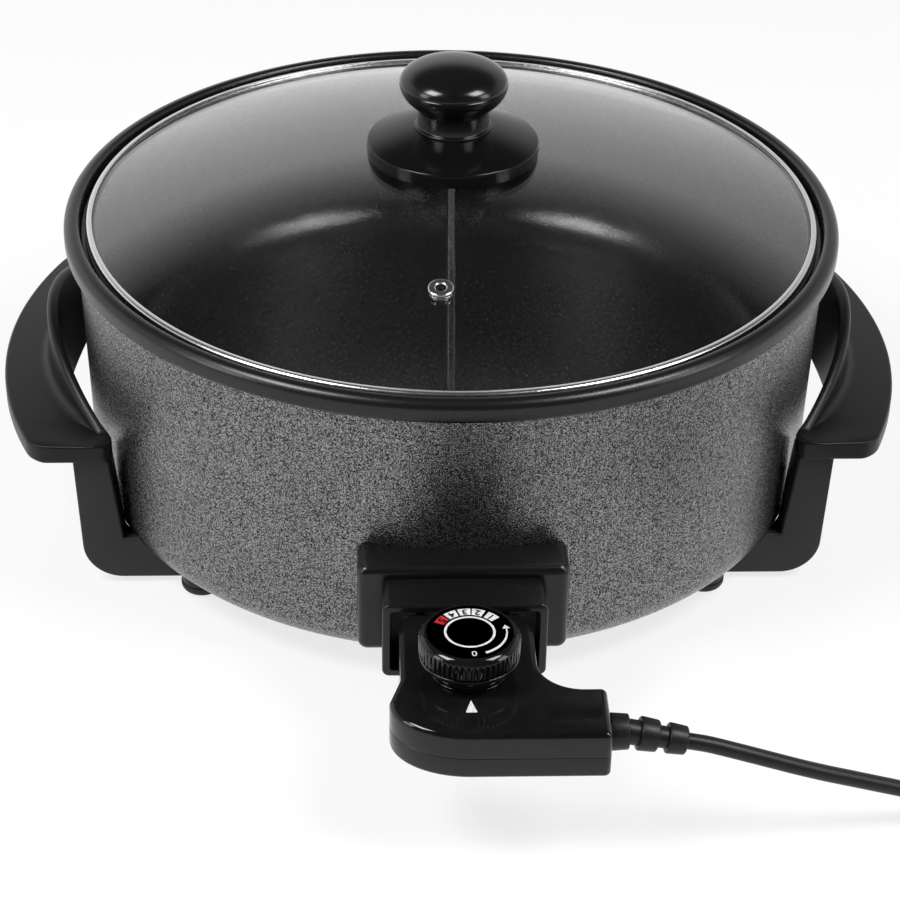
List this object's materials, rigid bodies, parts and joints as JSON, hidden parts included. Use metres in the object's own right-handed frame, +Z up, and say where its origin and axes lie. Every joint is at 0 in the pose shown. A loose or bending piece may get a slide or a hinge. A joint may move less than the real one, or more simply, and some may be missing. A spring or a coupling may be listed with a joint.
{
  "type": "electric skillet",
  "caption": "Round electric skillet with a divided non-stick pan, a domed glass lid, side handles on legs, and a plug-in thermostat with a dial and a mains lead.",
  "frame": {"origin": "on the table, under the middle of the skillet's box with its thermostat in place", "axes": "+Z up; -Y the front, where the thermostat plugs in; +X right as seen from the front"},
  "size_m": [0.569, 0.5159, 0.2485],
  "materials": {
    "hammertone_paint": "hammertone, satin",
    "nonstick_coat": "black non-stick coat on cast aluminium",
    "steel": "plain",
    "bright_ring": "polished",
    "black_moulding": "matte",
    "gloss_moulding": "glossy",
    "insulator": "matte, dark phenolic",
    "foot_rubber": "matte",
    "lid_glass": "clear",
    "contact_brass": "plain",
    "cord_sheath": "matte"
  },
  "bodies": {
    "skillet": {"outer_body": "hammertone_paint", "pan": "nonstick_coat", "heating_element": "steel", "terminal_pins": "steel", "earth_pin": "steel", "probe_sleeve": "steel", "socket_housing": "black_moulding", "pin_carrier": "insulator", "socket_screws": "steel", "left_handle": "black_moulding", "right_handle": "black_moulding", "left_front_leg": "black_moulding", "left_rear_leg": "black_moulding", "right_front_leg": "black_moulding", "right_rear_leg": "black_moulding", "feet": "foot_rubber", "leg_screws": "steel", "leg_nuts": "steel", "handle_screws": "steel", "base_screws": "steel"},
    "lid": {"lid_glass": "lid_glass", "lid_ring": "bright_ring", "vent_grommet": "bright_ring", "knob": "gloss_moulding", "knob_plate": "gloss_moulding", "knob_screw": "steel", "knob_washer": "foot_rubber"},
    "thermostat": {"upper_casing": "gloss_moulding", "lower_casing": "gloss_moulding", "probe_rod": "steel", "contact_sleeves": "contact_brass", "earth_contact": "contact_brass", "switch_base": "insulator", "bimetal_blade": "contact_brass", "lead_wires": "cord_sheath", "casing_screws": "steel", "dial_collar": "gloss_moulding", "strain_relief": "cord_sheath", "cord": "cord_sheath", "cord_coil": "cord_sheath", "cord_tie": "cord_sheath", "plug_body": "black_moulding", "plug_pins": "contact_brass"},
    "dial_knob": {"dial": "gloss_moulding", "dial_shaft": "steel"}
  },
  "joints": [
    {"name": "lid_lift", "type": "slide", "parent": "skillet", "child": "lid", "axis": [0, 0, 1], "range_m": [0, 0.25]},
    {"name": "thermostat_unplug", "type": "slide", "parent": "skillet", "child": "thermostat", "axis": [0, -1, 0], "range_m": [0, 0.11]},
    {"name": "dial_turn", "type": "hinge", "parent": "thermostat", "child": "dial_knob", "pos_m": [0, -0.21098, 0.085], "axis": [0, 0, 1], "range_deg": [-240, 0]}
  ]
}
